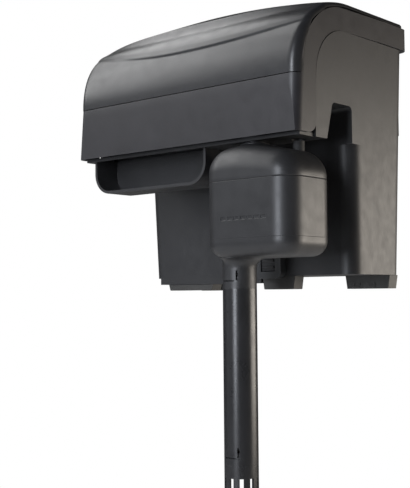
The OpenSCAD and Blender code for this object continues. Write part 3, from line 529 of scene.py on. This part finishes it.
def add_block(bm, low, high):
    """Box between two corners."""
    xs, ys, zs = zip(low, high)
    corners = [(x, y, z) for x in xs for y in ys for z in zs]
    sides = ((0, 1, 3, 2), (4, 6, 7, 5), (0, 4, 5, 1), (2, 3, 7, 6), (0, 2, 6, 4), (1, 5, 7, 3))
    add_mesh(bm, corners, sides)


def lerp(a, b, t):
    """Value a share t of the way from a to b."""
    return a + (b - a) * t


def ease(a, b, x):
    """Smooth step from 0 at a to 1 at b."""
    t = min(1, max(0, (x - a) / (b - a)))
    return t * t * (3 - 2 * t)


def spread(a, b, count):
    """Evenly spaced values from a to b."""
    return [lerp(a, b, i / (count - 1)) for i in range(count)]


# ---- Lid ----

class Lid:
    """Crowned lid: a bent front, an arched top, and two long soft steps across it.

    A station is a place along its profile, from the front's lower edge over the top to the back's.
    It is a bend angle, in degrees from level, and a distance along the straight part at that angle.
    """

    radius = 66 * MM            # of the bend between front and top
    bend_z = 18.5 * MM          # height of the bend's axis
    drop = 9.6 * MM             # fall of the arched top from its middle to its ends
    wall = 2.4 * MM
    back_gap = 6.5 * MM         # from the back wall to the hinge knuckles' rearmost line
    back_round = 2.5 * MM
    back_low = 72 * MM          # height of the back wall's lower edge

    step_x = 5 * MM             # where the lower step lies lowest, and its bend angle there
    step_low = 26.7
    step_rise = (17, 11)        # degrees it rises over step_reach, to the left and to the right
    step_reach = 110 * MM
    step_power = 2.3
    crest_low = 52.8            # bend angle of the upper crest at the middle
    crest_rise = 6              # degrees it rises over crest_reach, to both sides
    crest_reach = 85 * MM
    shelf_rise = 1.2 * MM       # sharp rise at the step, within step_soft degrees to each side
    step_soft = 1.1
    shelf_slope = 0.5 * MM      # slow rise over the next shelf_width degrees
    shelf_width = 5
    shelf_fade = 4.5            # degrees past the step where the shelf starts to fade towards the crest
    leaf_rise = 10              # degrees before the crest where the leaf starts to rise
    ridge = 2.0 * MM            # height of the crest over the leaf, and degrees it takes to rise and fall
    ridge_rise = 8
    ridge_fall = 15
    end_fade = 0.6              # share of the relief that is lost towards the lid's ends
    end_depth = (4.2 * MM, 2.7 * MM)    # how far the ends turn in, at the front and on the top
    end_round = (7.5 * MM, 2.2 * MM)    # radius they turn in with, at the front and on the top

    def __init__(self):
        low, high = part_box("lid")
        self.half = high[0]
        self.front = low[1]
        self.low = low[2]
        self.bend_y = self.front + self.radius
        self.crown = self.bend_z + self.radius
        self.back = high[1] - self.back_gap
        self.leaf = high[2] - self.crown

    def step_angles(self, x):
        """Bend angles of the lower step and of the upper crest, at a place along X."""
        rise = self.step_rise[0] if x < self.step_x else self.step_rise[1]
        step = self.step_low + rise * (abs(x - self.step_x) / self.step_reach) ** self.step_power
        crest = self.crest_low + self.crest_rise * (x / self.crest_reach) ** 2
        return step, crest

    def relief(self, x, angle):
        """Height of the step, the leaf and the crest over the plain bend."""
        step, crest = self.step_angles(x)
        shelf = self.shelf_rise * ease(step - self.step_soft, step + self.step_soft, angle)
        shelf += self.shelf_slope * ease(step, step + self.shelf_width, angle)
        shelf *= 1 - ease(step + self.shelf_fade, crest, angle)
        leaf = self.leaf * ease(crest - self.leaf_rise, crest, angle)
        away = (crest - angle) / self.ridge_rise if angle < crest else (angle - crest) / self.ridge_fall
        ridge = self.ridge * max(0, 1 - away) ** 2
        taper = 1 - self.end_fade * (abs(x) / self.half) ** 4
        return (shelf + leaf + ridge) * taper

    def stations(self):
        """All stations, close together where the steps run."""
        edge, top_gap = 0.3 * MM, 4 * MM
        front = [(0, z - self.bend_z) for z in spread(self.low + edge, self.bend_z, 5)[:-1]]
        bend = [(a, 0) for a in spread(0, 20, 17) + spread(20.4, 69.6, 124) + spread(72, 90, 8)]
        top = [(90, y) for y in spread(top_gap, self.back - self.back_round - self.bend_y, 16)]
        rear = [(a, 0) for a in spread(90, 180, 9)[1:]] + [(180, t) for t in spread(0, 1, 5)[1:]]
        return front + bend + top + rear

    def outline_point(self, x, station):
        """Point on the lid's face, and the direction out of the face there."""
        angle, along = station
        a = math.radians(angle)
        out = Vector((0, -math.cos(a), math.sin(a)))
        fall = self.drop * (x / self.half) ** 2
        if angle > 90:
            r = self.back_round
            z = self.crown - fall - r + r * math.sin(a)
            point = Vector((x, self.back - r - r * math.cos(a), lerp(z, self.back_low, along)))
            return point + Vector((0, 0, self.relief(x, 90) * (1 - along))), out
        y = self.bend_y - self.radius * math.cos(a) + (along if angle == 90 else 0)
        z = self.bend_z + self.radius * math.sin(a) - fall * math.sin(a) ** 2
        z += along if angle == 0 else 0
        return Vector((x, y, z)) + out * self.relief(x, angle), out

    def across(self, station):
        """Outline across the lid at a station: (place along X, depth under the face)."""
        angle = station[0]
        depth = lerp(*self.end_depth, ease(40, 85, angle))
        r = lerp(*self.end_round, ease(5, 62, angle))
        turns = [math.radians(t) for t in spread(0, 90, 9)]
        left = [(-self.half + r - r * math.cos(t), r - r * math.sin(t)) for t in turns]
        left.insert(0, (-self.half, max(depth, r + 0.3 * MM)))
        middle = [(x, 0) for x in spread(-self.half + r, self.half - r, 111)[1:-1]]
        right = [(-x, d) for x, d in reversed(left)]
        return left + middle + right

    def ring(self, station):
        """Outer line across the lid at a station, and the inner line under it."""
        end, angle = self.half - 0.01 * MM, station[0]
        line_out, line_in = [], []
        for x, d in self.across(station):
            point, out = self.outline_point(x, station)
            line_out.append(point - out * d)
            inner_x = max(-self.half + self.wall, min(self.half - self.wall, x))
            inner_d = max(d, self.wall) if abs(x) < end else d
            point, out = self.outline_point(inner_x, station)
            relief = self.relief(inner_x, angle) if angle <= 90 else 0
            line_in.append(point - out * relief - out * inner_d)
        return line_out, line_in

    def build(self):
        """Outer skin, inner skin, and the strips that join them round all four edges."""
        outer, inner = [], []
        stations = self.stations()
        for station in stations:
            line_out, line_in = self.ring(station)
            outer += line_out
            inner += line_in
        rows, columns = len(stations), len(outer) // len(stations)
        shift = len(outer)
        faces = grid_faces(rows, columns)
        faces += [tuple(shift + i for i in reversed(face)) for face in faces]
        for i in range(rows - 1):
            for j in (0, columns - 1):
                a, b = i * columns + j, (i + 1) * columns + j
                faces.append((a, b, shift + b, shift + a))
        for j in range(columns - 1):
            for i in (0, rows - 1):
                a, b = i * columns + j, i * columns + j + 1
                faces.append((a, b, shift + b, shift + a))
        bm = bmesh.new()
        add_mesh(bm, outer + inner, faces)
        self.add_knuckles(bm)
        return stand_for("lid", "lid_shell", bm, sharp=38)

    def add_knuckles(self, bm):
        """Two knuckles bored for the hinge pins, each on a tab that runs into the back wall."""
        radius, width, clearance = 3 * MM, 10 * MM, 0.08 * MM
        overlap, tab_low_z, tab_high_z = 2 * MM, 0.4 * MM, radius - 0.2 * MM
        pin_low, pin_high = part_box("right_hinge_pin")
        centre = (Vector(pin_low) + Vector(pin_high)) / 2
        bore = (pin_high[2] - pin_low[2]) / 2 + clearance
        tab_end = centre.y - bore - 0.4 * MM
        for side in (-1, 1):
            middle = Vector((side * centre.x, centre.y, centre.z))
            add_ring_along_x(bm, middle, bore, radius, width)
            add_block(bm, (middle.x - width / 2, self.back - overlap, middle.z + tab_low_z),
                      (middle.x + width / 2, tab_end, middle.z + tab_high_z))


# ---- Pump housing ----

PUMP_CORNER = 16 * MM
PUMP_WALL = 2.5 * MM
PUMP_EDGE = 0.5 * MM
RAYS = 144


def rect_distance(x, y, low, high, corner):
    """Distance inside a rounded rectangle's edge; negative outside it."""
    half_x, half_y = (high[0] - low[0]) / 2 - corner, (high[1] - low[1]) / 2 - corner
    dx = abs(x - (low[0] + high[0]) / 2) - half_x
    dy = abs(y - (low[1] + high[1]) / 2) - half_y
    outside = math.hypot(max(dx, 0), max(dy, 0))
    return corner - outside - min(max(dx, dy), 0)


def ray_length(centre, angle, inside):
    """Length of the ray from a centre to where inside() falls to zero, found by halving."""
    near, far = 0.0, 200 * MM
    for _ in range(40):
        middle = (near + far) / 2
        point = (centre[0] + middle * math.cos(angle), centre[1] + middle * math.sin(angle))
        if inside(*point) > 0:
            near = middle
        else:
            far = middle
    return near


def axis_of(node):
    """Place of an upright round node's axis in X and Y, and its radius."""
    low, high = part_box(node)
    return ((low[0] + high[0]) / 2, (low[1] + high[1]) / 2), (high[0] - low[0]) / 2


def turned(centre, line_at):
    """Points and faces of a closed outline swept round an upright axis; line_at(angle) gives (r, z)."""
    points = []
    for i in range(RAYS):
        angle = 2 * math.pi * i / RAYS
        line = line_at(angle)
        points += [(centre[0] + r * math.cos(angle), centre[1] + r * math.sin(angle), z) for r, z in line]
    return points, grid_faces(RAYS, len(points) // RAYS, closed=True)


class PumpDome:
    """Top of the pump: a roof that falls gently from the outlet collar to broad round shoulders."""

    shoulder = 15 * MM          # radius of the shoulders
    slope = 0.23                # fall of the roof per length, away from the collar
    top = -28.6 * MM            # height of the roof where it meets the collar
    fillet = 0.9 * MM           # height and reach of the soft foot round the collar
    fillet_reach = 4 * MM
    collar_wall = 2.5 * MM
    collar_edge = 0.6 * MM
    seam_rise = 0.9 * MM        # height of the rounded lower edge, and its points: inwards, upwards
    seam_edge = ((0.25 * MM, 0.3 * MM), (0.7 * MM, 0))

    def __init__(self):
        self.low, self.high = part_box("pump_dome")
        self.collar, tube_r = axis_of("outlet_tube")
        self.bore = tube_r + 0.1 * MM
        self.collar_r = self.bore + self.collar_wall

    def inside(self, x, y):
        return rect_distance(x, y, self.low, self.high, PUMP_CORNER)

    def roof(self, x, y):
        """Height of the outer face."""
        far = max(0, math.hypot(x - self.collar[0], y - self.collar[1]) - self.collar_r)
        cone = self.top - self.slope * far + self.fillet * (math.exp(-far / self.fillet_reach) - 1)
        t = min(self.shoulder, max(0, self.inside(x, y)))
        return cone - self.shoulder + math.sqrt(max(0, self.shoulder ** 2 - (self.shoulder - t) ** 2))

    def line(self, angle):
        """Closed outline of the wall along one ray from the collar: (distance from its axis, height)."""
        edge = ray_length(self.collar, angle, self.inside)
        inner_edge = ray_length(self.collar, angle, lambda x, y: self.inside(x, y) - PUMP_WALL)
        cos, sin = math.cos(angle), math.sin(angle)

        def height(r):
            return self.roof(self.collar[0] + r * cos, self.collar[1] + r * sin)

        crowded = [1 - (1 - t) ** 2.2 for t in spread(0, 1, 31)]
        rim, seam = self.high[2], self.low[2]
        outer = [(self.bore, rim), (self.collar_r - self.collar_edge, rim),
                 (self.collar_r, rim - self.collar_edge)]
        outer += [(r, height(r)) for r in (lerp(self.collar_r, edge, t) for t in crowded)]
        low_shoulder = outer[-1][1]
        outer += [(edge, z) for z in spread(low_shoulder, seam + self.seam_rise, 5)[1:]]
        outer += [(edge - inwards, seam + upwards) for inwards, upwards in self.seam_edge]
        inner = [(inner_edge, seam), (inner_edge, low_shoulder)]
        for t in reversed(crowded[:-1]):
            under = height(lerp(self.collar_r, edge, t)) - PUMP_WALL
            inner.append((lerp(self.bore, inner_edge, t), under))
        return outer + inner

    def build(self):
        bm = bmesh.new()
        add_mesh(bm, *turned(self.collar, self.line))
        return stand_for("pump_dome", "pump_dome_shell", bm, sharp=50)


def cut_away(piece, cutter):
    """Takes the cutter's volume out of a piece."""
    mesh = bpy.data.meshes.new("cutter")
    bmesh.ops.recalc_face_normals(cutter, faces=cutter.faces)
    cutter.to_mesh(mesh)
    cutter.free()
    tool = bpy.data.objects.new("cutter", mesh)
    bpy.context.collection.objects.link(tool)
    cut = piece.modifiers.new("cut", "BOOLEAN")
    cut.operation = "DIFFERENCE"
    cut.solver = "EXACT"
    cut.object = tool
    bake(piece)
    bpy.data.objects.remove(tool)


def build_sleeve():
    """Pump sleeve with a row of plain engraved bars across its front."""
    count, pitch, bar_w, bar_h, bar_deep = 7, 6 * MM, 4.4 * MM, 2.2 * MM, 0.6 * MM
    past_corner, above_low, overshoot = 3 * MM, 14 * MM, 1 * MM
    low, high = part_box("pump_sleeve")
    start = low[0] + PUMP_CORNER + past_corner
    middle_z = low[2] + above_low
    piece = stand_for("pump_sleeve", "pump_sleeve_shell", node_bmesh("pump_sleeve"))
    bars = bmesh.new()
    for i in range(count):
        x = start + i * pitch
        add_block(bars, (x, low[1] - overshoot, middle_z - bar_h / 2),
                  (x + bar_w, low[1] + bar_deep, middle_z + bar_h / 2))
    cut_away(piece, bars)
    round_edges(piece, PUMP_EDGE)
    return piece


def build_base():
    """Pump base with a flare where the bowl runs down into the neck."""
    bowl_z, bowl_round = -111 * MM, 11 * MM
    flare_h, flare_w, gap, sunk, into_bowl = 7 * MM, 8 * MM, 0.05 * MM, 0.5 * MM, 1 * MM
    off_round = 0.75 * bowl_round       # keeps the flare on the flat of the bowl's underside
    low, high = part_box("pump_base")
    axis, neck = axis_of("intake_tube")

    def flare_line(angle):
        edge = ray_length(axis, angle, lambda x, y: rect_distance(x, y, low, high, PUMP_CORNER))
        width = min(flare_w, max(0, edge - off_round - neck))
        turns = [math.radians(t) for t in spread(0, 90, 9)]
        line = [(neck + gap + width * (1 - math.cos(t)), bowl_z - flare_h * (1 - math.sin(t)))
                for t in turns]
        top = bowl_z + into_bowl
        return line + [(line[-1][0], top), (neck - sunk, top), (neck - sunk, line[0][1])]

    bm = node_bmesh("pump_base")
    add_mesh(bm, *turned(axis, flare_line))
    piece = stand_for("pump_base", "pump_base_shell", bm)
    round_edges(piece, PUMP_EDGE)
    return piece


# ---- Feet ----

def build_marked_foot():
    """Rear right foot with two small raised U marks on its front face."""
    half, line, tall, raised, above_low = 3.2 * MM, 0.8 * MM, 3.6 * MM, 0.5 * MM, 1.2 * MM
    low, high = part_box("rear_right_foot")
    mark_z = low[2] + above_low
    bm = node_bmesh("rear_right_foot")
    for share in (0.27, 0.6):
        middle = lerp(low[0], high[0], share)
        x0, x1 = middle - half, middle + half
        for a, b, height in ((x0, x0 + line, tall), (x1 - line, x1, tall), (x0, x1, line)):
            add_block(bm, (a, low[1] - raised, mark_z), (b, low[1] + raised, mark_z + height))
    piece = stand_for("rear_right_foot", "rear_right_foot_marked", bm)
    round_edges(piece, 0.25 * MM)
    return piece


# ---- Soft filter media ----

LUMP_HEIGHT = 0.6           # in mm
LUMPS_PER_METRE = 60


def rounded_pad(node, inset, corner, bulge):
    """Closed pad in the node's box, with rounded edges, crowned top and bottom and slight lumps."""
    low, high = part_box(node)
    low = Vector(low) + Vector((inset, inset, inset))
    high = Vector(high) - Vector((inset, inset, inset))
    centre, half = (low + high) / 2, (high - low) / 2
    bm = bmesh.new()
    bmesh.ops.create_cube(bm, size=2)
    bmesh.ops.subdivide_edges(bm, edges=bm.edges, cuts=15, use_grid_fill=True)
    for vert in bm.verts:
        x, y, z = vert.co
        p = Vector((x * half.x, y * half.y, z * half.z))
        core = Vector([max(-h + corner, min(h - corner, c)) for c, h in zip(p, half)])
        away = p - core
        if away.length > 0:
            p = core + away.normalized() * min(away.length, corner)
        swell = (1 - x ** 4) * (1 - y ** 4)
        p.z *= 1 + bulge * swell
        if away.length > 0:
            lump = noise.noise(p * LUMPS_PER_METRE)
            p += away.normalized() * lump * LUMP_HEIGHT * MM
        vert.co = centre + p
    return bm


def puffed(piece, voxel, pressure, cap, steps=20):
    """Swells a soft piece with cloth under pressure, moving no point further than cap."""
    bpy.context.view_layer.objects.active = piece
    remesh = piece.modifiers.new("remesh", "REMESH")
    remesh.mode = "VOXEL"
    remesh.voxel_size = voxel
    bake(piece)
    before = [vert.co.copy() for vert in piece.data.vertices]
    cloth = piece.modifiers.new("cloth", "CLOTH")
    cloth.settings.use_pressure = True
    cloth.settings.uniform_pressure_force = pressure
    cloth.settings.effector_weights.gravity = 0
    cloth.point_cache.frame_start = 1
    cloth.point_cache.frame_end = steps
    scene = bpy.context.scene
    for step in range(1, steps + 1):
        scene.frame_set(step)
    bake(piece)
    scene.frame_set(1)
    for vert, start in zip(piece.data.vertices, before):
        moved = vert.co - start
        if moved.length > cap:
            vert.co = start + moved.normalized() * cap


def keep_inside(piece, node, room=0.15 * MM):
    """Holds a swollen piece back to the space its CAD block takes, as the basket does."""
    low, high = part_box(node)
    for vert in piece.data.vertices:
        for i in range(3):
            vert.co[i] = min(high[i] - room, max(low[i] + room, vert.co[i]))


def build_media(node, name, inset, corner, bulge, pressure, cap):
    piece = stand_for(node, name, rounded_pad(node, inset, corner, bulge), sharp=180)
    puffed(piece, 4 * MM, pressure, cap)
    keep_inside(piece, node)
    for polygon in piece.data.polygons:
        polygon.use_smooth = True
    smooth = piece.modifiers.new("smooth", "SUBSURF")
    smooth.levels = 1
    smooth.render_levels = 1
    return piece


# ---- Assembly ----

# Width of the rounded edges, in mm, of the nodes that are shown as softened copies.
SOFTENED = {
    "riser": 0.3, "front_left_foot": 0.5, "front_middle_foot": 0.5, "rear_left_foot": 0.5,
    "level_guide": 0.35, "level_spacer": 0.35, "intake_tube": 0.3, "strainer": 0.3,
    "strainer_cap": 0.6, "media_basket": 0.4, "basket_handle": 0.8, "volute": 0.3,
    "volute_cover": 0.3, "stator_core": 0.2, "left_coil": 1.0, "right_coil": 1.0,
    "impeller": 0.2, "rotor_magnet": 0.5, "cable_gland": 0.3, "ceramic_rings": 0.6,
}

make_camera()
set_view()
make_world()
make_lights()
make_floor()
MATERIALS = make_materials()
for node, part in frame["nodes"].items():
    part.data.materials.clear()
    part.data.materials.append(MATERIALS[slot_of(node)])

Lid().build()
softened("hood", "hood_shell", 0.8 * MM)
softened("case", "case_shell", 0.7 * MM)
softened("spout", "spout_shell", 0.6 * MM)
PumpDome().build()
build_sleeve()
build_base()
build_marked_foot()
for node, width in SOFTENED.items():
    softened(node, node + "_rounded", width * MM)
build_media("coarse_sponge", "sponge_block", inset=1.2 * MM, corner=3 * MM, bulge=0.01,
            pressure=3, cap=5 * MM)
build_media("carbon_bag", "carbon_pillow", inset=2.0 * MM, corner=6 * MM, bulge=0.0,
            pressure=5, cap=6 * MM)
build_media("fine_pad", "fibre_pad", inset=1.0 * MM, corner=3 * MM, bulge=0.02,
            pressure=3, cap=5 * MM)
